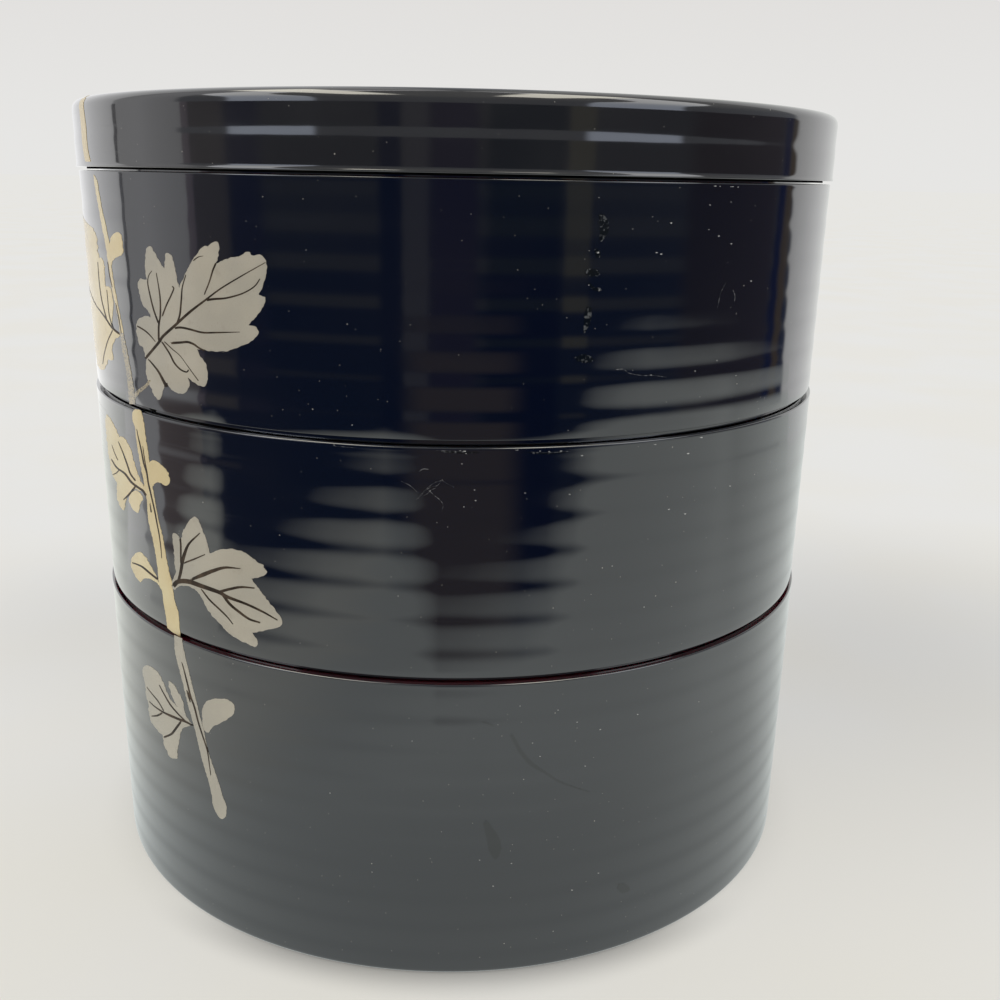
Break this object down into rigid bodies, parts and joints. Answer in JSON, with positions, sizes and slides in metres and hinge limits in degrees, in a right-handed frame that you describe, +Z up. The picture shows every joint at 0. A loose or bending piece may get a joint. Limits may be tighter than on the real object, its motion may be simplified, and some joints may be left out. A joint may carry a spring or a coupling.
{
  "type": "round tiered lacquer box",
  "caption": "Round stacking lacquer box with lift-off tiers and a lid, shallow turned ribs outside and hollow tiers inside, with a gold and silver leaf spray.",
  "frame": {"origin": "centre of the foot ring's lower plane, on the axis of the box", "axes": "+Z up along the axis of the box; -Y is the side that faces the viewer of the picture"},
  "size_m": [0.1832, 0.1832, 0.1828],
  "materials": {
    "black_lacquer": "black gloss lacquer",
    "red_lacquer": "dark red gloss lacquer",
    "gold_sprinkle": "sprinkled gold powder, satin",
    "silver_sprinkle": "sprinkled silver powder, dulled"
  },
  "bodies": {
    "root": {"lid": "black_lacquer", "tier_top": "black_lacquer", "tier_middle": "black_lacquer", "tier_bottom": "black_lacquer"}
  },
  "joints": []
}
